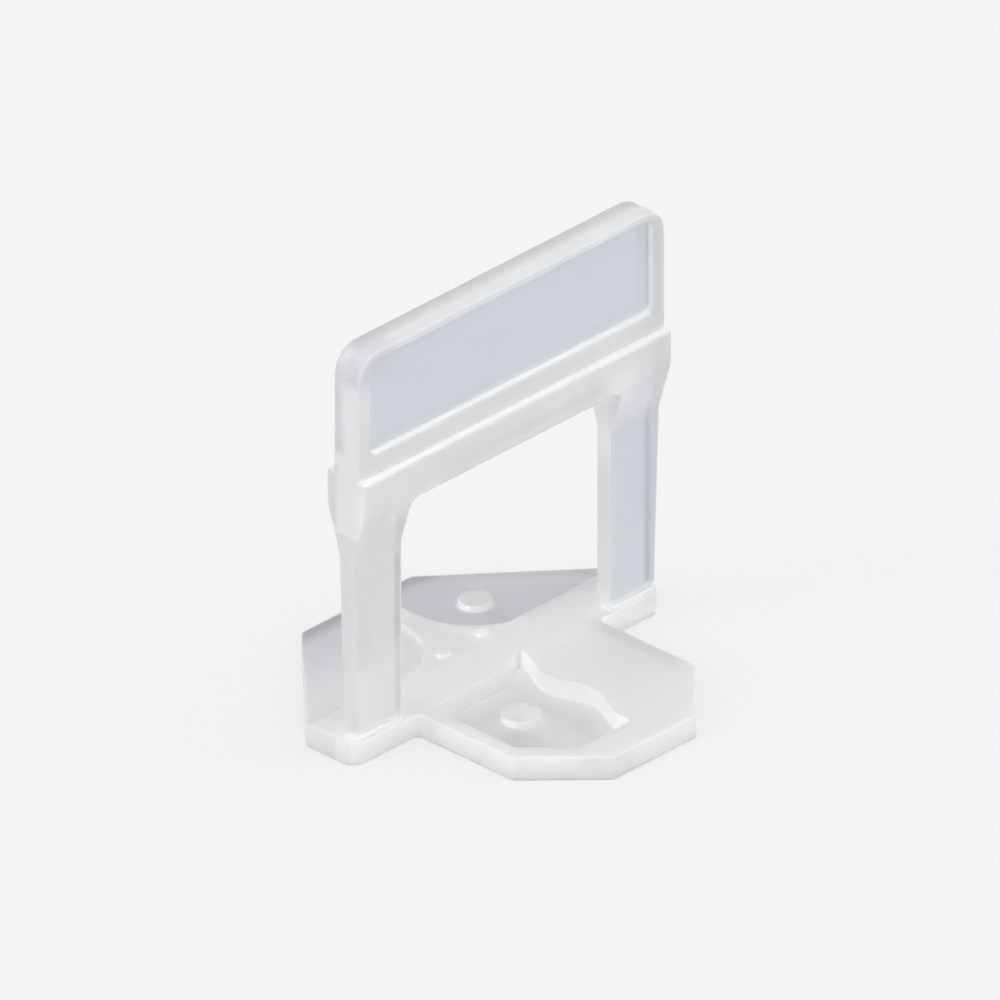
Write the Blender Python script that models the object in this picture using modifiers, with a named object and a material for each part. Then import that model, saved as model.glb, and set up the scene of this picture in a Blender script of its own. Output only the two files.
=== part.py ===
"""Tile levelling clip: a flat foot under two tiles, two legs in the joint and a bridge for the wedge.

One moulded piece. X runs along the joint, -Y is the narrow front of the foot, Z is up.
The origin is on the underside, midway between the legs and in the middle of the joint.
"""

import math

import bmesh
import bpy
from mathutils import Matrix

MM = 0.001

# Legs and window: the joint, the wedge's way through and the height at which the wedge bears
JOINT_WIDTH = 1.5 * MM
WINDOW_WIDTH = 21.9 * MM
WINDOW_TOP = 20.7 * MM
WINDOW_CORNER = 0.8 * MM
LEG_WIDTH = 5.1 * MM
LEG_TAPER = 0.5 * MM
LEG_TAPER_TOP = 16.2 * MM

# Foot plate
PLATE_THICKNESS = 2.0 * MM
PLATE_EDGE = 0.15 * MM
PLATE_CORNER = 0.5 * MM
ARM_CORNER = 1.2 * MM
BACK_REACH = 14.4 * MM
BACK_CHAMFER = 10.5 * MM
FRONT_REACH = 15.7 * MM
FRONT_CHAMFER = 5.2 * MM
FRONT_INSET = 1.4 * MM
FOOT_MARGIN = 0.2 * MM

# Pocket in the front left of the foot, with a wavy wall towards the middle and a narrow horn at its back
POCKET_DEPTH = 1.5 * MM
POCKET_RIM = 1.2 * MM
POCKET_CHAMFER_RIM = 1.5 * MM
POCKET_FRONT_RIM = 2.7 * MM
POCKET_JOINT_RIM = 0.45 * MM
POCKET_CORNER = 0.6 * MM
HORN_REACH = 1.6 * MM
HORN_ROOT = 2.6 * MM
HORN_BLEND = 1.2 * MM
HORN_TIP = 0.3 * MM
WAVE_OFFSET = 1.85 * MM
WAVE_LEAN = 0.08
WAVE_HEIGHT = 0.6 * MM
WAVE_LENGTH = 8.2 * MM
WAVE_ENDS = 1.4 * MM
POCKET_PAD_RADIUS = 1.5 * MM
POCKET_PAD_HEIGHT = 0.55 * MM
POCKET_PAD_PLACE = (-3.1 * MM, -5.2 * MM)

# Lowered wings at the back of the foot, on both sides of a spine, thinner towards the back edge
WING_FRONT = 2.9 * MM
WING_STEP = 0.25 * MM
BACK_THICKNESS = 1.15 * MM
SPINE_HALF_WIDTH = 0.9 * MM
SPINE_BLEND = 6.0 * MM
WING_PAD_RADIUS = 1.25 * MM
WING_PAD_PLACE = (5.5 * MM, 7.7 * MM)

# Small nubs in front of the wings
NUB_RADIUS = 0.55 * MM
NUB_HEIGHT = 0.3 * MM
NUB_PLACE = (2.1 * MM, 3.65 * MM)

# Break-off notch at the root of each leg
NOTCH_DEPTH = 0.3 * MM
NOTCH_LAND = 0.3 * MM
NOTCH_SLOPE = 0.6 * MM
NOTCH_LIFT = 0.1 * MM

# Shoulders and beam
BEAM_DEPTH = 4.0 * MM
BEAM_HEIGHT = 3.2 * MM
SHOULDER_DROP = 3.7 * MM
SHOULDER_RISE = 0.45 * MM
SHOULDER_BLEND = 1.0 * MM

# Panel above the beam, with a recessed field on both faces
PANEL_DEPTH = 2.6 * MM
PANEL_HEIGHT = 10.25 * MM
PANEL_CORNER = 2.2 * MM
FIELD_DEPTH = 0.6 * MM
FIELD_RIM = 1.2 * MM
FIELD_TOP_RIM = 0.8 * MM
FIELD_LOWER_RIM = 1.7 * MM
FIELD_CORNER = 0.9 * MM
FRAME_EDGE = 0.2 * MM

# Fineness and cutting margins
EDGE_SEGMENTS = 2
ARC_STEPS = 8
WAVE_STEPS = 36
PAD_SIDES = 40
OVERRUN = 1.0 * MM
WELD = 0.000001

HALF_WIDTH = WINDOW_WIDTH / 2 + LEG_WIDTH
FRONT_HALF_WIDTH = WINDOW_WIDTH / 2 - FRONT_INSET
JOINT_FACE = JOINT_WIDTH / 2
BEAM_TOP = WINDOW_TOP + BEAM_HEIGHT
CLIP_TOP = BEAM_TOP + PANEL_HEIGHT
POCKET_BACK = -JOINT_FACE - POCKET_JOINT_RIM
HORN_END = POCKET_BACK + HORN_REACH
WING_EDGE = JOINT_FACE + WING_FRONT


def clear_scene():
    """Remove every object that the scene starts with."""
    for old in list(bpy.data.objects):
        bpy.data.objects.remove(old, do_unlink=True)


def make_collection(name):
    """Add a collection to the scene."""
    group = bpy.data.collections.new(name)
    bpy.context.scene.collection.children.link(group)
    return group


def round_corners(points, radii):
    """Return the outline with each corner replaced by an arc that touches both of its sides."""
    outline = []
    count = len(points)
    for i, (point, radius) in enumerate(zip(points, radii)):
        if radius <= 0:
            outline.append(point)
            continue
        before, after = points[i - 1], points[(i + 1) % count]
        to_before = (before[0] - point[0], before[1] - point[1])
        to_after = (after[0] - point[0], after[1] - point[1])
        length_before, length_after = math.hypot(*to_before), math.hypot(*to_after)
        a = (to_before[0] / length_before, to_before[1] / length_before)
        b = (to_after[0] / length_after, to_after[1] / length_after)
        half_angle = math.acos(max(-1.0, min(1.0, a[0] * b[0] + a[1] * b[1]))) / 2
        reach = min(radius / math.tan(half_angle), 0.45 * length_before, 0.45 * length_after)
        radius = reach * math.tan(half_angle)
        middle = (a[0] + b[0], a[1] + b[1])
        scale = math.hypot(radius, reach) / math.hypot(*middle)
        centre = (point[0] + middle[0] * scale, point[1] + middle[1] * scale)
        start = math.atan2(point[1] + a[1] * reach - centre[1], point[0] + a[0] * reach - centre[0])
        end = math.atan2(point[1] + b[1] * reach - centre[1], point[0] + b[0] * reach - centre[0])
        sweep = (end - start + math.pi) % (2 * math.pi) - math.pi
        for step in range(ARC_STEPS + 1):
            angle = start + sweep * step / ARC_STEPS
            outline.append((centre[0] + radius * math.cos(angle), centre[1] + radius * math.sin(angle)))
    return outline


def mirror_outline(half):
    """Close a half outline with its mirror image in the line where the first value is zero."""
    return half + [(-a, b) for a, b in reversed(half)]


def extruded(name, outline, low, high, axis, group):
    """Extrude a flat outline along an axis: (X, Y) along Z, (Y, Z) along X, or (X, Z) along Y."""
    curve = bpy.data.curves.new(name, "CURVE")
    curve.dimensions = "2D"
    curve.fill_mode = "NONE"
    curve.extrude = (high - low) / 2
    spline = curve.splines.new("POLY")
    spline.points.add(len(outline) - 1)
    for point, (a, b) in zip(spline.points, outline):
        point.co = (a, b, 0, 1)
    spline.use_cyclic_u = True
    guide = bpy.data.objects.new(name + "_outline", curve)
    group.objects.link(guide)
    middle = (low + high) / 2
    turns = {
        "Z": Matrix.Identity(4),
        "X": Matrix(((0, 0, 1, 0), (1, 0, 0, 0), (0, 1, 0, 0), (0, 0, 0, 1))),
        "Y": Matrix(((1, 0, 0, 0), (0, 0, -1, 0), (0, 1, 0, 0), (0, 0, 0, 1))),
    }
    shifts = {"Z": (0, 0, middle), "X": (middle, 0, 0), "Y": (0, middle, 0)}
    guide.matrix_world = Matrix.Translation(shifts[axis]) @ turns[axis]
    bpy.context.view_layer.update()
    evaluated = guide.evaluated_get(bpy.context.evaluated_depsgraph_get())
    mesh = bpy.data.meshes.new_from_object(evaluated)
    mesh.name = name
    solid = bpy.data.objects.new(name, mesh)
    solid.matrix_world = guide.matrix_world
    group.objects.link(solid)
    bpy.data.objects.remove(guide, do_unlink=True)
    work = bmesh.new()
    work.from_mesh(mesh)
    bmesh.ops.remove_doubles(work, verts=work.verts, dist=WELD)
    bmesh.ops.holes_fill(work, edges=work.edges, sides=0)
    bmesh.ops.recalc_face_normals(work, faces=work.faces)
    work.to_mesh(mesh)
    work.free()
    return solid


def cylinders(name, places, radius, low, high, group):
    """Make upright round pads in one object."""
    work = bmesh.new()
    for x, y in places:
        bmesh.ops.create_cone(
            work,
            cap_ends=True,
            segments=PAD_SIDES,
            radius1=radius,
            radius2=radius,
            depth=high - low,
            matrix=Matrix.Translation((x, y, (low + high) / 2)),
        )
    mesh = bpy.data.meshes.new(name)
    work.to_mesh(mesh)
    work.free()
    pads = bpy.data.objects.new(name, mesh)
    group.objects.link(pads)
    return pads


def as_tool(tool):
    """Show an object as a wire that shapes another one and isn't rendered."""
    tool.hide_render = True
    tool.display_type = "WIRE"
    return tool


def combine(target, tool, operation):
    """Cut a tool from the target, or join it to the target."""
    step = target.modifiers.new(f"{operation.title()} {tool.name}", "BOOLEAN")
    step.operation = operation
    step.solver = "EXACT"
    step.object = as_tool(tool)


def round_edges(target, width):
    """Round every edge that turns sharply."""
    bevel = target.modifiers.new("Edge rounding", "BEVEL")
    bevel.width = width
    bevel.segments = EDGE_SEGMENTS
    bevel.limit_method = "ANGLE"
    bevel.angle_limit = math.radians(35)
    bevel.use_clamp_overlap = False


def plate_outline():
    """Outline of the foot: wide behind the joint, narrower in front of it, with cut corners."""
    side = HALF_WIDTH + FOOT_MARGIN
    wing_front = -JOINT_FACE - FOOT_MARGIN
    half = [
        (FRONT_HALF_WIDTH - FRONT_CHAMFER, -FRONT_REACH),
        (FRONT_HALF_WIDTH, FRONT_CHAMFER - FRONT_REACH),
        (FRONT_HALF_WIDTH, wing_front),
        (side, wing_front),
        (side, BACK_REACH - BACK_CHAMFER),
        (side - BACK_CHAMFER, BACK_REACH),
    ]
    radii = [PLATE_CORNER] * 3 + [ARM_CORNER] + [PLATE_CORNER] * 2
    return round_corners(mirror_outline(half), radii + radii[::-1])


def wave_point(distance):
    """Point of the pocket's wavy wall, at a distance in front of the horn's end."""
    sway = WAVE_HEIGHT * math.cos(2 * math.pi * distance / WAVE_LENGTH)
    return (WAVE_OFFSET - WAVE_LEAN * distance + sway, HORN_END - distance)


def pocket_outline():
    """Outline of the pocket: a rim follows the foot's edge, and the wall towards the middle is a wave."""
    left = POCKET_RIM - FRONT_HALF_WIDTH
    front = POCKET_FRONT_RIM - FRONT_REACH
    corner_cut = FRONT_CHAMFER + POCKET_CHAMFER_RIM * math.sqrt(2) - POCKET_RIM - POCKET_FRONT_RIM
    length = HORN_END - front
    tip, end = wave_point(0), wave_point(length)
    wave = [
        wave_point(WAVE_ENDS + (length - 2 * WAVE_ENDS) * step / WAVE_STEPS)
        for step in range(WAVE_STEPS + 1)
    ]
    corners = [
        (end, POCKET_CORNER),
        ((left + corner_cut, front), POCKET_CORNER),
        ((left, front + corner_cut), POCKET_CORNER),
        ((left, POCKET_BACK), POCKET_CORNER),
        ((tip[0] - HORN_ROOT, POCKET_BACK), HORN_BLEND),
        (tip, HORN_TIP),
    ]
    points = [point for point, radius in corners] + wave
    radii = [radius for point, radius in corners] + [0] * len(wave)
    return round_corners(points, radii)


def wing_profile():
    """Side view of what is cut off above the wings: a step, then a slope down to the back edge."""
    fall = (PLATE_THICKNESS - WING_STEP - BACK_THICKNESS) / (BACK_REACH - WING_EDGE)
    above = PLATE_THICKNESS + OVERRUN
    return [
        (WING_EDGE, PLATE_THICKNESS - WING_STEP),
        (BACK_REACH + OVERRUN, BACK_THICKNESS - fall * OVERRUN),
        (BACK_REACH + OVERRUN, above),
        (WING_EDGE, above),
    ]


def spine_outline():
    """Outline of the spine between the wings, with a wide blend at its root."""
    arm = 2.5 * SPINE_BLEND
    half = [
        (SPINE_HALF_WIDTH + arm, WING_EDGE - OVERRUN),
        (SPINE_HALF_WIDTH, WING_EDGE),
        (SPINE_HALF_WIDTH, WING_EDGE + arm),
    ]
    radii = [0, SPINE_BLEND, 0]
    return round_corners(mirror_outline(half), radii + radii[::-1])


def make_plate(group):
    """The foot plate with its pocket, its lowered wings, its round pads and its nubs."""
    plate = extruded("foot_plate", plate_outline(), 0, PLATE_THICKNESS, "Z", group)
    round_edges(plate, PLATE_EDGE)
    floor = PLATE_THICKNESS - POCKET_DEPTH
    pocket = extruded("front_pocket", pocket_outline(), floor, PLATE_THICKNESS + OVERRUN, "Z", group)
    combine(plate, pocket, "DIFFERENCE")
    reach = HALF_WIDTH + OVERRUN
    wings = extruded("lowered_wings", wing_profile(), -reach, reach, "X", group)
    spine = extruded("wing_spine", spine_outline(), 0, PLATE_THICKNESS + 2 * OVERRUN, "Z", group)
    combine(wings, spine, "DIFFERENCE")
    combine(plate, wings, "DIFFERENCE")
    pads = (
        ("wing_pads", WING_PAD_PLACE, WING_PAD_RADIUS, PLATE_THICKNESS),
        ("wing_nubs", NUB_PLACE, NUB_RADIUS, PLATE_THICKNESS + NUB_HEIGHT),
    )
    for name, (x, y), radius, top in pads:
        pair = cylinders(name, [(-x, y), (x, y)], radius, PLATE_THICKNESS / 4, top, group)
        combine(plate, pair, "UNION")
    pocket_pad = cylinders(
        "pocket_pad",
        [POCKET_PAD_PLACE],
        POCKET_PAD_RADIUS,
        floor / 2,
        floor + POCKET_PAD_HEIGHT,
        group,
    )
    combine(plate, pocket_pad, "UNION")
    return plate


def frame_profile():
    """Side view of the legs, the shoulders, the beam and the panel."""
    beam, panel = BEAM_DEPTH / 2, PANEL_DEPTH / 2
    half = [
        (JOINT_FACE, PLATE_THICKNESS / 2),
        (JOINT_FACE, WINDOW_TOP - SHOULDER_DROP),
        (beam, WINDOW_TOP + SHOULDER_RISE),
        (beam, BEAM_TOP),
        (panel, BEAM_TOP),
        (panel, CLIP_TOP),
    ]
    radii = [0, SHOULDER_BLEND, SHOULDER_BLEND, 0, 0, 0]
    return round_corners(mirror_outline(half), radii + radii[::-1])


def window_outline():
    """Front view of the window between the legs, open at the bottom, where the foot closes it."""
    half = [(WINDOW_WIDTH / 2, -OVERRUN), (WINDOW_WIDTH / 2, WINDOW_TOP)]
    radii = [0, WINDOW_CORNER]
    return round_corners(mirror_outline(half), radii + radii[::-1])


def corner_cut_outline(side):
    """Front view of what is cut away outside a rounded upper corner of the panel."""
    edge, top = HALF_WIDTH, CLIP_TOP
    arc = []
    for step in range(ARC_STEPS + 1):
        angle = math.pi / 2 * step / ARC_STEPS
        x = edge - PANEL_CORNER + PANEL_CORNER * math.cos(angle)
        arc.append((side * x, top - PANEL_CORNER + PANEL_CORNER * math.sin(angle)))
    outside = [(side * (edge - PANEL_CORNER), top + OVERRUN), (side * (edge + OVERRUN), top + OVERRUN)]
    return arc + outside + [(side * (edge + OVERRUN), top - PANEL_CORNER)]


def field_outline():
    """Front view of the recessed field in the panel."""
    x = HALF_WIDTH - FIELD_RIM
    half = [(x, BEAM_TOP + FIELD_LOWER_RIM), (x, CLIP_TOP - FIELD_TOP_RIM)]
    return round_corners(mirror_outline(half), [FIELD_CORNER] * 4)


def taper_outline(side):
    """Front view of what is cut away outside a leg, which narrows towards the foot."""
    fall = LEG_TAPER * (LEG_TAPER_TOP + OVERRUN) / (LEG_TAPER_TOP - PLATE_THICKNESS)
    return [
        (side * (HALF_WIDTH + OVERRUN), -OVERRUN),
        (side * (HALF_WIDTH - fall), -OVERRUN),
        (side * HALF_WIDTH, LEG_TAPER_TOP),
        (side * (HALF_WIDTH + OVERRUN), LEG_TAPER_TOP),
    ]


def notch_outline(side):
    """Side view of the notch in one face of the legs, just above the foot."""
    low = PLATE_THICKNESS + NOTCH_LIFT
    outer, inner = JOINT_FACE + OVERRUN, JOINT_FACE - NOTCH_DEPTH
    return [
        (side * outer, low),
        (side * inner, low),
        (side * inner, low + NOTCH_LAND),
        (side * JOINT_FACE, low + NOTCH_LAND + NOTCH_SLOPE),
        (side * outer, low + NOTCH_LAND + NOTCH_SLOPE),
    ]


def make_frame(group, tools):
    """Legs, shoulders, beam and panel: the side view run along the joint and opened from the front."""
    frame = extruded("levelling_clip", frame_profile(), -HALF_WIDTH, HALF_WIDTH, "X", group)
    reach = BEAM_DEPTH / 2 + OVERRUN
    window = extruded("window", window_outline(), -reach, reach, "Y", tools)
    combine(frame, window, "DIFFERENCE")
    for side, word in ((-1, "near"), (1, "far")):
        corner = extruded(f"{word}_corner", corner_cut_outline(side), -reach, reach, "Y", tools)
        combine(frame, corner, "DIFFERENCE")
        taper = extruded(f"{word}_taper", taper_outline(side), -reach, reach, "Y", tools)
        combine(frame, taper, "DIFFERENCE")
    web = PANEL_DEPTH / 2 - FIELD_DEPTH
    for low, high, word in ((-reach, -web, "front"), (web, reach, "back")):
        field = extruded(f"{word}_field", field_outline(), low, high, "Y", tools)
        combine(frame, field, "DIFFERENCE")
    round_edges(frame, FRAME_EDGE)
    return frame


def make_material():
    """Natural polypropylene: milky, slightly see-through and satin."""
    plastic = bpy.data.materials.new("natural_plastic")
    plastic.use_nodes = True
    shader = plastic.node_tree.nodes["Principled BSDF"]
    shader.inputs["Base Color"].default_value = (0.74, 0.76, 0.78, 1)
    shader.inputs["Roughness"].default_value = 0.35
    shader.inputs["Metallic"].default_value = 0
    shader.inputs["Transmission Weight"].default_value = 0.25
    plastic.diffuse_color = (0.74, 0.76, 0.78, 1)
    return plastic


def main():
    """Build the clip."""
    clear_scene()
    group = make_collection("Tile levelling clip")
    tools = make_collection("Cutters and joined bodies")
    clip = make_frame(group, tools)
    combine(clip, make_plate(tools), "UNION")
    for side, word in ((-1, "front"), (1, "back")):
        reach = HALF_WIDTH + OVERRUN
        notch = extruded(f"{word}_notch", notch_outline(side), -reach, reach, "X", tools)
        combine(clip, notch, "DIFFERENCE")
    clip.data.materials.append(make_material())


main()
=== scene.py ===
"""Looks of the tile levelling clip: milky polypropylene on a pale floor, in soft studio light."""

import math

import bpy
from mathutils import Matrix, Vector

MM = 0.001


def grey(level):
    """Return a neutral colour of this level."""
    return (level, level, level, 1)


# Camera: parallel view from the front left, as in the photograph
AZIMUTH = math.radians(-46.2)
ELEVATION = math.radians(29.43)
VIEW_WIDTH = 72.62 * MM
VIEW_RIGHT = 0.046 * MM
VIEW_UP = 13.48 * MM
VIEW_DISTANCE = 0.4
VIEW_NEAR = 0.01
VIEW_FAR = 10

# Lamps: name, compass side and height in degrees, strength, softness in degrees
LAMPS = (
    ("key_light", -100, 30, 1.5, 40),
    ("front_light", 45, 14, 1.1, 60),
    ("top_light", 20, 80, 0.9, 60),
)

# Room light, and the backdrop and floor as the camera sees them
ROOM_LIGHT = (0.96, 0.98, 1.0, 1)
ROOM_STRENGTH = 0.80
BACKDROP = (0.945, 0.94, 0.95, 1)
FLOOR_PAINT = grey(0.60)
FLOOR_REACH = 3.0
BACKDROP_ON_FLOOR = 0.7

# Plastic: milky and satin, with cloudy thick walls and a fine grain
THICK_DULL = grey(0.82)
THICK_BRIGHT = grey(0.86)
THICK_CLOUDS = 260
SATIN_LOW = 0.28
SATIN_HIGH = 0.38
SATIN_CLOUDS = 700
CLOUD_DETAIL = 3
CLOUD_START = 0.3
CLOUD_END = 0.7
GRAIN = 2600
GRAIN_STRENGTH = 0.08
GRAIN_HEIGHT = 0.02 * MM
REFRACTION = 1.49
SCATTER_REACH = 1.0 * MM
LIGHT_LET_THROUGH = 0.45

# Painted highlight along edges, standing in for light that milky plastic gathers there: how far in from the
# edge, how much, and how far a face must turn there
EDGE_BRIGHT = grey(0.98)
EDGE_WIDTH = 0.3 * MM
EDGE_SHARE = 0.75
EDGE_TURN_START = 0.995
EDGE_TURN_FULL = 0.85
EDGE_SAMPLES = 4

# Box where the painted edge highlight is weaker, behind the near leg: low and high corner and softness in
# millimetres
DULL_EDGES = ((-9.0, 3.6, 1.0), (-0.5, 14.0, 2.05), 0.1)
DULL_EDGES_SHARE = 0.8

# Painted glow, emission standing in for light that the milky wall carries into inner corners, less of it on
# the flat front and back
CORNER_REACH = 2.2 * MM
CORNER_GLOW = 0.34
CORNER_GLOW_ON_FLAT = 0.4
CORNER_SAMPLES = 3

# A face belongs to a direction where its normal's part along it is over this
FACE_TURN = 0.5
LEFT_FACE_TURN = 0.3

# Box sides in millimetres that many regions share: just past the clip's sides, just past the
# legs' two faces, and just under and over the top of the foot
SIDE = 17.0
LEG_FACE = 0.9
UNDER_TOP = 1.9
OVER_TOP = 2.1
WING_START = 3.6

# Regions of painted light and shade, each over those above it; the thin web's grey is partly its
# see-through look: low corner and high corner of the box in millimetres, colour, softness in millimetres,
# faces meant
PAINTED_LIGHT_AND_SHADE = (
    # thin web of the panel: greyer, partly its see-through look and partly painted shade
    ((-14.85, -1.1, 25.6), (14.85, 1.1, 33.35), (0.77, 0.80, 0.835, 1), 0.8, "all"),
    # painted highlight on the ends of the panel and beam, painted shade on the panel's near corner and on
    # the back of the beam's end
    ((-SIDE, -2.3, 19.0), (-15.0, 2.3, 35.0), grey(0.98), 0.4, "edgewise"),
    ((-SIDE, -2.3, 31.5), (-12.5, 2.3, 36.0), (0.76, 0.75, 0.77, 1), 1.6, "all"),
    ((-SIDE, 0.9, 19.5), (-15.0, 3.0, 24.5), (0.78, 0.77, 0.79, 1), 1.0, "edgewise"),
    # painted shade on the back of the panel's ends and top
    ((-SIDE, 0.2, 25.6), (SIDE, 3.0, 33.6), (0.75, 0.74, 0.76, 1), 1.4, "edgewise"),
    ((-14.5, 0.2, 32.0), (SIDE, 3.0, 35.0), (0.60, 0.59, 0.60, 1), 1.4, "upward"),
    # painted highlight on the ledges under the web and on the beam
    ((-14.9, -1.6, 25.2), (14.9, -0.6, 25.8), grey(1.0), 0.1, "upward"),
    ((-SIDE, -2.3, 23.4), (SIDE, -1.2, 24.3), grey(1.0), 0.1, "upward"),
    # painted shade on the faces of the far leg, painted highlight on its inner side, painted light on the
    # lower part of the near leg and painted shade on that of the far leg
    ((10.8, -LEG_FACE, 3.0), (16.3, LEG_FACE, 19.0), (0.74, 0.78, 0.82, 1), 1.0, "flatwise"),
    ((10.0, -LEG_FACE, 3.0), (11.5, LEG_FACE, 22.0), grey(1.0), 1.0, "edgewise"),
    ((-SIDE, -LEG_FACE, 1.9), (-9.0, LEG_FACE, 7.0), (0.96, 0.95, 0.96, 1), 6.0, "flatwise"),
    ((9.0, -LEG_FACE, 1.9), (SIDE, LEG_FACE, 7.0), (0.80, 0.83, 0.86, 1), 5.0, "flatwise"),
    # near leg: painted shade on its outer side and in a strip, and a painted highlight on the edge beside
    # the window
    ((-SIDE, -LEG_FACE, 8.5), (-15.0, LEG_FACE, 17.0), grey(0.80), 4.0, "upright"),
    ((-11.75, -1.5, 3.0), (-11.2, 0.0, 16.0), (0.84, 0.83, 0.85, 1), 0.4, "flatwise"),
    ((-11.75, -1.5, 9.0), (-11.2, 0.0, 16.0), (0.74, 0.73, 0.75, 1), 0.4, "flatwise"),
    ((-11.15, -LEG_FACE, 3.0), (-10.7, LEG_FACE, 16.0), grey(1.0), 0.2, "all"),
    # far leg: painted shade in a strip at its outer edge and on the shoulder over it
    ((14.45, -1.5, 3.0), (15.0, 0.0, 22.0), (0.62, 0.64, 0.68, 1), 0.4, "flatwise"),
    ((9.5, -2.5, 17.5), (SIDE, 0.5, 23.0), (0.88, 0.86, 0.89, 1), 3.0, "flatwise"),
    # painted light on the foot at the legs' ends, lightening the shade there
    ((-SIDE, -1.2, -0.5), (-8.5, 0.9, 2.3), grey(0.92), 0.6, "all"),
    ((8.5, -1.2, -0.5), (SIDE, 0.9, 2.6), grey(0.95), 0.6, "all"),
    # painted shade: the top of the foot darker than its sides, and the root of the spine darker still
    ((-SIDE, -16.5, UNDER_TOP), (SIDE, 15.0, OVER_TOP), grey(0.81), 0.1, "upward"),
    ((-4.5, 3.0, UNDER_TOP), (0.5, 9.0, OVER_TOP), (0.72, 0.72, 0.73, 1), 2.0, "upward"),
    # painted shade on the thin wings, deeper on the far one: near one, far one, step beside the spine, rear
    # of the near one, end of the far one
    ((-SIDE, WING_START, 0.9), (0.0, 15.0, 1.95), (0.75, 0.74, 0.76, 1), 0.1, "upward"),
    ((0.0, WING_START, 0.9), (SIDE, 15.0, 1.95), (0.55, 0.54, 0.57, 1), 0.1, "upward"),
    ((-9.0, WING_START, 1.0), (-0.5, 14.0, 2.05), (0.72, 0.72, 0.73, 1), 0.1, "upright"),
    ((-SIDE, 9.0, -3.0), (-2.5, 20.0, 6.0), (0.62, 0.61, 0.64, 1), 6.0, "upward"),
    ((7.0, WING_START, 0.9), (SIDE, 15.0, 1.95), (0.62, 0.61, 0.64, 1), 3.0, "upward"),
    # painted shade along the back edge of both wings
    ((-8.0, 13.1, -1.0), (-1.5, 16.0, 3.0), (0.42, 0.42, 0.44, 1), 1.6, "upward"),
    ((1.5, 13.2, 0.0), (7.0, 15.0, 1.6), (0.42, 0.42, 0.44, 1), 1.4, "upward"),
    # painted shade on the pad and a painted highlight on the nub of the far wing
    ((3.5, 5.7, UNDER_TOP), (7.5, 9.7, 2.6), grey(0.70), 0.1, "upward"),
    ((1.3, 2.9, 2.05), (2.9, 4.4, 2.6), grey(1.0), 0.1, "all"),
    # painted light on the sides of the foot, on the walls of the pocket and on the side of its wave
    ((-15.9, -16.5, -0.5), (SIDE, WING_START, 1.95), grey(0.98), 0.1, "upright"),
    ((-9.0, -2.5, 0.45), (3.8, 1.5, OVER_TOP), grey(1.0), 0.1, "upright"),
    ((-2.5, -13.8, 0.45), (4.2, 1.0, OVER_TOP), grey(1.0), 0.1, "leftwise"),
    # painted shade on the floor of the pocket, deeper in two places
    ((-9.3, -13.8, 0.3), (3.5, 1.5, 0.7), grey(0.73), 0.1, "upward"),
    ((-7.7, -8.8, -1.5), (-4.3, -6.0, 1.0), grey(0.61), 2.4, "upward"),
    ((-1.5, -11.5, -1.5), (2.5, -8.5, 1.0), grey(0.67), 2.4, "upward"),
    # painted shade at the right edge of the foot's front
    ((8.2, -9.5, 0.5), (10.8, -0.5, 3.5), grey(0.745), 2.0, "upward"),
)

# Regions with more painted glow, emission standing in for light carried inside the wall: corners as above,
# share of the corners' light, softness in millimetres, faces meant
PAINTED_GLOW_PLACES = (
    # painted glow on the front of the foot's arms beside the legs, and on the foot's right front edge
    ((-SIDE, -3.2, -0.5), (-8.5, -0.4, 2.3), 0.28, 0.8, "flatwise"),
    ((8.5, -3.2, -0.5), (SIDE, -0.4, 2.3), 0.28, 0.8, "flatwise"),
    ((-2.0, -SIDE, -0.5), (7.0, -13.0, 2.0), 0.2, 1.0, "upright"),
    # painted glow on the inner side of the far leg, under the shoulder
    ((10.0, -LEG_FACE, 14.5), (11.5, LEG_FACE, 22.0), 0.45, 3.0, "edgewise"),
    # painted glow on the lower part of the beam's front, more of it at the near shoulder
    ((-13.0, -3.0, 19.5), (12.0, 0.0, 22.2), 0.17, 2.0, "flatwise"),
    ((-13.0, -3.0, 19.5), (-8.0, 0.0, 22.4), 0.12, 2.0, "flatwise"),
    # painted glow on the ledges on the beam and under the web
    ((-SIDE, -2.3, 23.4), (SIDE, -1.2, 24.3), 0.2, 0.1, "upward"),
    ((-14.9, -1.6, 25.2), (14.9, -0.6, 25.8), 0.2, 0.1, "upward"),
)


def new_material(name):
    """Return an empty node material with its node tree and output node."""
    material = bpy.data.materials.new(name)
    material.use_nodes = True
    tree = material.node_tree
    tree.nodes.clear()
    output = tree.nodes.new("ShaderNodeOutputMaterial")
    return material, tree, output


def math_node(tree, operation, first, second=None):
    """Add a Math node; each value is a number or another node's output."""
    node = tree.nodes.new("ShaderNodeMath")
    node.operation = operation
    for socket, value in zip(node.inputs, (first, second)):
        if value is None:
            continue
        if isinstance(value, (int, float)):
            socket.default_value = value
        else:
            tree.links.new(value, socket)
    return node.outputs[0]


def mix_colour(tree, factor, first, second):
    """Add a colour mix; each colour is a value or another node's output."""
    node = tree.nodes.new("ShaderNodeMix")
    node.data_type = "RGBA"
    tree.links.new(factor, node.inputs["Factor"])
    # a Mix node keeps its two colours at places 6 and 7, and its mixed colour at place 2
    for socket, value in ((node.inputs[6], first), (node.inputs[7], second)):
        if isinstance(value, tuple):
            socket.default_value = value
        else:
            tree.links.new(value, socket)
    return node.outputs[2]


def smooth_ramp(tree, value, start, end):
    """Add a soft ramp from 0 at the start to 1 at the end."""
    ramp = tree.nodes.new("ShaderNodeMapRange")
    ramp.interpolation_type = "SMOOTHSTEP"
    ramp.inputs["From Min"].default_value = start
    ramp.inputs["From Max"].default_value = end
    tree.links.new(value, ramp.inputs["Value"])
    return ramp.outputs["Result"]


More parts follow.
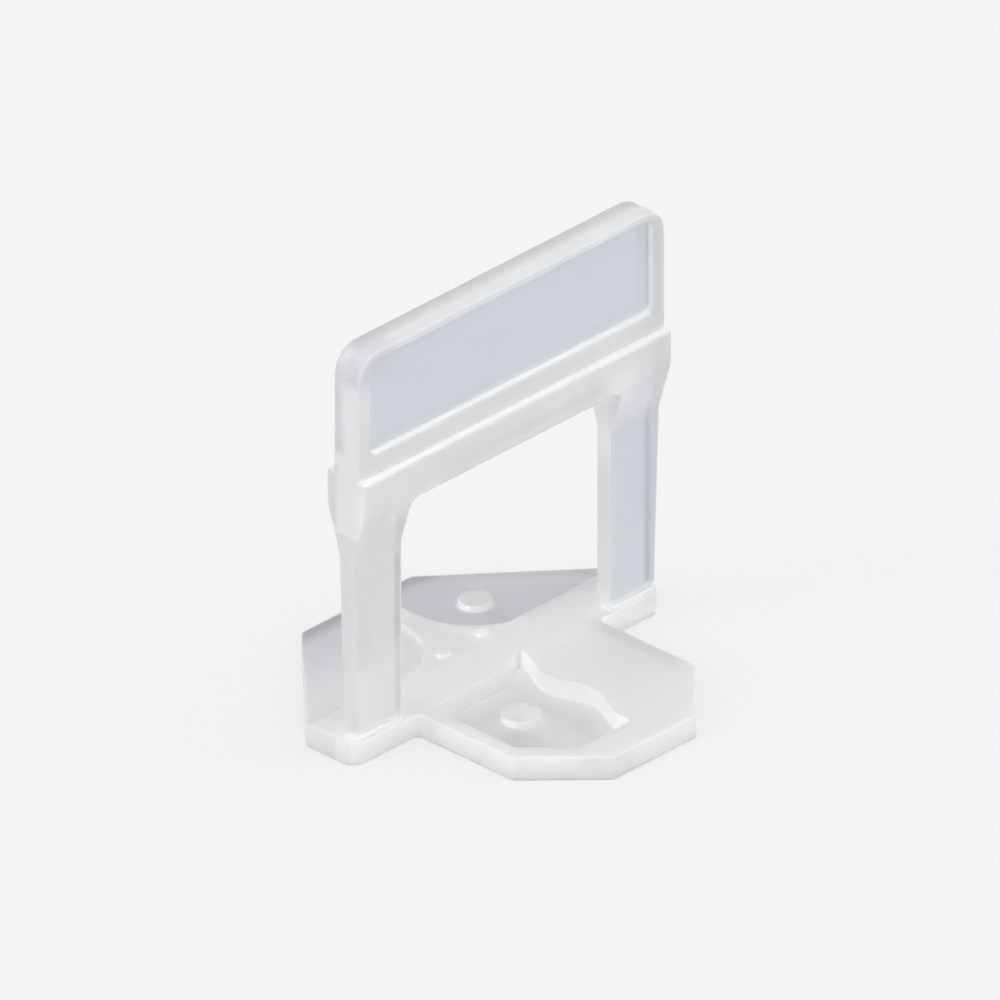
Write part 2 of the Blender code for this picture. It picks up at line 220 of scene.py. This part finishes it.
def new_group(name, inputs, output):
    """Return an empty shader node group with its input and output nodes; sockets are name and kind."""
    group = bpy.data.node_groups.new(name, "ShaderNodeTree")
    for label, kind in inputs:
        group.interface.new_socket(label, in_out="INPUT", socket_type="NodeSocket" + kind)
    group.interface.new_socket(output, in_out="OUTPUT", socket_type="NodeSocketFloat")
    return group, group.nodes.new("NodeGroupInput"), group.nodes.new("NodeGroupOutput")


def box_mask_group():
    """A mask that is 1 inside a box with soft sides and 0 outside."""
    sockets = (("Vector", "Vector"), ("Centre", "Vector"), ("Half size", "Vector"), ("Softness", "Float"))
    group, enter, leave = new_group("box mask", sockets, "Mask")
    offset = group.nodes.new("ShaderNodeVectorMath")
    offset.operation = "SUBTRACT"
    group.links.new(enter.outputs["Vector"], offset.inputs[0])
    group.links.new(enter.outputs["Centre"], offset.inputs[1])
    distance = group.nodes.new("ShaderNodeVectorMath")
    distance.operation = "ABSOLUTE"
    group.links.new(offset.outputs[0], distance.inputs[0])
    inside = group.nodes.new("ShaderNodeVectorMath")
    inside.operation = "SUBTRACT"
    group.links.new(enter.outputs["Half size"], inside.inputs[0])
    group.links.new(distance.outputs[0], inside.inputs[1])
    parts = group.nodes.new("ShaderNodeSeparateXYZ")
    group.links.new(inside.outputs[0], parts.inputs[0])
    least = math_node(group, "MINIMUM", parts.outputs[0], parts.outputs[1])
    least = math_node(group, "MINIMUM", least, parts.outputs[2])
    share = math_node(group, "DIVIDE", least, enter.outputs["Softness"])
    group.links.new(smooth_ramp(group, share, -0.5, 0.5), leave.inputs["Mask"])
    return group


def box_mask(tree, group, place, low, high, softness):
    """Place the box mask for a box given by two corners in millimetres."""
    node = tree.nodes.new("ShaderNodeGroup")
    node.node_tree = group
    tree.links.new(place, node.inputs["Vector"])
    node.inputs["Centre"].default_value = [(a + b) / 2 * MM for a, b in zip(low, high)]
    node.inputs["Half size"].default_value = [(b - a) / 2 * MM for a, b in zip(low, high)]
    node.inputs["Softness"].default_value = softness * MM
    return node.outputs["Mask"]


def edge_glow_group():
    """A mask for the painted edge highlight: 1 along edges, where moulded milky plastic gathers light, and
    0 on flat faces.
    """
    group, enter, leave = new_group("edge glow", (("Width", "Float"),), "Mask")
    rounded = group.nodes.new("ShaderNodeBevel")
    rounded.samples = EDGE_SAMPLES
    group.links.new(enter.outputs["Width"], rounded.inputs["Radius"])
    true = group.nodes.new("ShaderNodeNewGeometry")
    likeness = group.nodes.new("ShaderNodeVectorMath")
    likeness.operation = "DOT_PRODUCT"
    group.links.new(rounded.outputs["Normal"], likeness.inputs[0])
    group.links.new(true.outputs["Normal"], likeness.inputs[1])
    mask = smooth_ramp(group, likeness.outputs["Value"], EDGE_TURN_START, EDGE_TURN_FULL)
    group.links.new(mask, leave.inputs["Mask"])
    return group


def corner_glow_group():
    """A grey for the painted corner glow: black on open faces and light in inner corners, where the milky
    wall carries light.
    """
    group, enter, leave = new_group("corner glow", (("Reach", "Float"),), "Glow")
    openness = group.nodes.new("ShaderNodeAmbientOcclusion")
    openness.samples = CORNER_SAMPLES
    openness.only_local = True
    group.links.new(enter.outputs["Reach"], openness.inputs["Distance"])
    shade = math_node(group, "SUBTRACT", 1.0, openness.outputs["AO"])
    group.links.new(shade, leave.inputs["Glow"])
    return group


def clouds(tree, place, scale, low, high):
    """Add soft noise between two values."""
    noise = tree.nodes.new("ShaderNodeTexNoise")
    noise.inputs["Scale"].default_value = scale
    noise.inputs["Detail"].default_value = CLOUD_DETAIL
    tree.links.new(place, noise.inputs["Vector"])
    ramp = tree.nodes.new("ShaderNodeMapRange")
    ramp.inputs["From Min"].default_value = CLOUD_START
    ramp.inputs["From Max"].default_value = CLOUD_END
    ramp.inputs["To Min"].default_value = low
    ramp.inputs["To Max"].default_value = high
    tree.links.new(noise.outputs["Fac"], ramp.inputs["Value"])
    return ramp.outputs["Result"]


def face_masks(tree, normal):
    """Masks of the faces that point up, stand upright, lie across or along the bridge, or look left."""
    parts = tree.nodes.new("ShaderNodeSeparateXYZ")
    tree.links.new(normal, parts.inputs[0])
    steep = math_node(tree, "ABSOLUTE", parts.outputs["Z"])
    front = math_node(tree, "ABSOLUTE", parts.outputs["Y"])
    return {
        "upward": math_node(tree, "GREATER_THAN", parts.outputs["Z"], FACE_TURN),
        "upright": math_node(tree, "LESS_THAN", steep, FACE_TURN),
        "edgewise": math_node(tree, "LESS_THAN", front, FACE_TURN),
        "flatwise": math_node(tree, "GREATER_THAN", front, FACE_TURN),
        "leftwise": math_node(tree, "LESS_THAN", parts.outputs["X"], -LEFT_FACE_TURN),
    }


def wall_colour_and_painted_light(tree, place, faces, box):
    """Colour of the plastic: cloudy thick walls, the painted light and shade of the regions, and painted
    highlights on the edges.
    """
    colour = mix_colour(tree, clouds(tree, place, THICK_CLOUDS, 0, 1), THICK_DULL, THICK_BRIGHT)
    # each region paints light or shade into the colour
    for low, high, paint, softness, where in PAINTED_LIGHT_AND_SHADE:
        mask = box_mask(tree, box, place, low, high, softness)
        if where in faces:
            mask = math_node(tree, "MULTIPLY", mask, faces[where])
        colour = mix_colour(tree, mask, colour, paint)

    # painted highlight along the edges, weaker in the box behind the near leg
    glow = tree.nodes.new("ShaderNodeGroup")
    glow.node_tree = edge_glow_group()
    glow.inputs["Width"].default_value = EDGE_WIDTH
    share = math_node(tree, "MULTIPLY", glow.outputs["Mask"], EDGE_SHARE)
    dull = math_node(tree, "MULTIPLY", box_mask(tree, box, place, *DULL_EDGES), DULL_EDGES_SHARE)
    share = math_node(tree, "MULTIPLY", share, math_node(tree, "SUBTRACT", 1.0, dull))
    return mix_colour(tree, share, colour, EDGE_BRIGHT)


def painted_glow(tree, place, faces, box):
    """Painted glow, emission standing in for light inside the milky wall: in inner corners and in the
    listed places, on outer faces only.
    """
    corners = tree.nodes.new("ShaderNodeGroup")
    corners.node_tree = corner_glow_group()
    corners.inputs["Reach"].default_value = CORNER_REACH
    less = math_node(tree, "MULTIPLY", faces["flatwise"], 1 - CORNER_GLOW_ON_FLAT)
    light = math_node(tree, "MULTIPLY", corners.outputs["Glow"], math_node(tree, "SUBTRACT", 1.0, less))
    # more painted glow in the listed places
    for low, high, amount, softness, where in PAINTED_GLOW_PLACES:
        mask = math_node(tree, "MULTIPLY", box_mask(tree, box, place, low, high, softness), faces[where])
        light = math_node(tree, "ADD", light, math_node(tree, "MULTIPLY", mask, amount))
    side = tree.nodes.new("ShaderNodeNewGeometry")
    outside = math_node(tree, "SUBTRACT", 1.0, side.outputs["Backfacing"])
    return math_node(tree, "MULTIPLY", light, outside)


def make_plastic():
    """Natural polypropylene: milky, slightly see-through and satin, with painted light and shade in its
    colour and a painted glow, greyer on the thin web partly from its see-through look.
    """
    material, tree, output = new_material("natural_polypropylene")
    shader = tree.nodes.new("ShaderNodeBsdfPrincipled")
    tree.links.new(shader.outputs[0], output.inputs["Surface"])
    coordinates = tree.nodes.new("ShaderNodeTexCoord")
    place = coordinates.outputs["Object"]
    faces = face_masks(tree, coordinates.outputs["Normal"])
    box = box_mask_group()

    # base colour with the painted light and shade of the regions and the painted edge highlights
    tree.links.new(wall_colour_and_painted_light(tree, place, faces, box), shader.inputs["Base Color"])
    tree.links.new(clouds(tree, place, SATIN_CLOUDS, SATIN_LOW, SATIN_HIGH), shader.inputs["Roughness"])
    # emission: painted glow in inner corners and the listed places
    tree.links.new(painted_glow(tree, place, faces, box), shader.inputs["Emission Color"])
    shader.inputs["Emission Strength"].default_value = CORNER_GLOW
    shader.inputs["IOR"].default_value = REFRACTION
    shader.inputs["Subsurface Weight"].default_value = 1.0
    shader.inputs["Subsurface Radius"].default_value = (1.0, 1.0, 1.0)
    shader.inputs["Subsurface Scale"].default_value = SCATTER_REACH
    shader.inputs["Transmission Weight"].default_value = LIGHT_LET_THROUGH

    grain = tree.nodes.new("ShaderNodeTexNoise")
    grain.inputs["Scale"].default_value = GRAIN
    tree.links.new(place, grain.inputs["Vector"])
    bump = tree.nodes.new("ShaderNodeBump")
    bump.inputs["Strength"].default_value = GRAIN_STRENGTH
    bump.inputs["Distance"].default_value = GRAIN_HEIGHT
    tree.links.new(grain.outputs["Fac"], bump.inputs["Height"])
    tree.links.new(bump.outputs["Normal"], shader.inputs["Normal"])
    return material


def seen_directly(tree):
    """1 for rays from the camera, for gloss and through the plastic, 0 for light that falls on the clip."""
    rays = tree.nodes.new("ShaderNodeLightPath")
    direct = math_node(tree, "MAXIMUM", rays.outputs["Is Camera Ray"], rays.outputs["Is Glossy Ray"])
    return math_node(tree, "MAXIMUM", direct, rays.outputs["Is Transmission Ray"])


def make_floor():
    """A wide matt floor that the camera sees as the pale backdrop, with the clip's soft shadow."""
    mesh = bpy.data.meshes.new("studio_floor")
    reach = FLOOR_REACH
    corners = [(-reach, -reach, 0), (reach, -reach, 0), (reach, reach, 0), (-reach, reach, 0)]
    mesh.from_pydata(corners, [], [(0, 1, 2, 3)])
    floor = bpy.data.objects.new("studio_floor", mesh)
    bpy.context.scene.collection.objects.link(floor)
    material, tree, output = new_material("pale_floor")
    paint = tree.nodes.new("ShaderNodeBsdfDiffuse")
    paint.inputs["Color"].default_value = FLOOR_PAINT
    seen = tree.nodes.new("ShaderNodeEmission")
    seen.inputs["Color"].default_value = BACKDROP
    share = math_node(tree, "MULTIPLY", seen_directly(tree), BACKDROP_ON_FLOOR)
    mix = tree.nodes.new("ShaderNodeMixShader")
    tree.links.new(share, mix.inputs["Fac"])
    tree.links.new(paint.outputs[0], mix.inputs[1])
    tree.links.new(seen.outputs[0], mix.inputs[2])
    tree.links.new(mix.outputs[0], output.inputs["Surface"])
    mesh.materials.append(material)


def make_world():
    """Even light from all round; the camera sees it as the pale backdrop."""
    world = bpy.data.worlds.new("studio")
    world.use_nodes = True
    tree = world.node_tree
    tree.nodes.clear()
    output = tree.nodes.new("ShaderNodeOutputWorld")
    room = tree.nodes.new("ShaderNodeBackground")
    room.inputs["Color"].default_value = ROOM_LIGHT
    room.inputs["Strength"].default_value = ROOM_STRENGTH
    seen = tree.nodes.new("ShaderNodeBackground")
    seen.inputs["Color"].default_value = BACKDROP
    seen.inputs["Strength"].default_value = 1
    mix = tree.nodes.new("ShaderNodeMixShader")
    tree.links.new(seen_directly(tree), mix.inputs["Fac"])
    tree.links.new(room.outputs[0], mix.inputs[1])
    tree.links.new(seen.outputs[0], mix.inputs[2])
    tree.links.new(mix.outputs[0], output.inputs["Surface"])
    bpy.context.scene.world = world


def add_sun(name, azimuth, elevation, strength, softness):
    """Add a soft distant lamp that shines from a compass side and height, both in degrees."""
    lamp = bpy.data.lights.new(name, "SUN")
    lamp.energy = strength
    lamp.angle = math.radians(softness)
    holder = bpy.data.objects.new(name, lamp)
    a, e = math.radians(azimuth), math.radians(elevation)
    source = Vector((math.sin(a) * math.cos(e), -math.cos(a) * math.cos(e), math.sin(e)))
    holder.rotation_mode = "QUATERNION"
    holder.rotation_quaternion = source.to_track_quat("Z", "Y")
    # without this the lamps' mirror image burns flat faces out to white in low views
    holder.visible_glossy = False
    bpy.context.scene.collection.objects.link(holder)


def make_camera():
    """Place the parallel camera so that the clip stands where the photograph shows it."""
    a, e = AZIMUTH, ELEVATION
    right = Vector((math.cos(a), math.sin(a), 0))
    back = Vector((math.sin(a) * math.cos(e), -math.cos(a) * math.cos(e), math.sin(e)))
    up = back.cross(right)
    data = bpy.data.cameras.new("camera")
    data.type = "ORTHO"
    data.ortho_scale = VIEW_WIDTH
    data.clip_start = VIEW_NEAR
    data.clip_end = VIEW_FAR
    camera = bpy.data.objects.new("camera", data)
    turn = Matrix((right, up, back)).transposed().to_4x4()
    stand = right * VIEW_RIGHT + up * VIEW_UP + back * VIEW_DISTANCE
    camera.matrix_world = Matrix.Translation(stand) @ turn
    bpy.context.scene.collection.objects.link(camera)
    bpy.context.scene.camera = camera


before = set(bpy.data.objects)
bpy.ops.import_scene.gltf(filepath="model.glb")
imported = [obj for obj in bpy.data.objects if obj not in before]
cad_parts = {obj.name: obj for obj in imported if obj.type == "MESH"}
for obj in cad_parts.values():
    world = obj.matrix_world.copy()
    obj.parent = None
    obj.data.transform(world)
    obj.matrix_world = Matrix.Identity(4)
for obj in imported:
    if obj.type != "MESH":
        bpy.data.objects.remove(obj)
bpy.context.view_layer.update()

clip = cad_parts["levelling_clip"]
clip.data.materials.clear()
clip.data.materials.append(make_plastic())

make_floor()
make_world()
for lamp_values in LAMPS:
    add_sun(*lamp_values)
make_camera()
bpy.context.scene.view_settings.view_transform = "Standard"
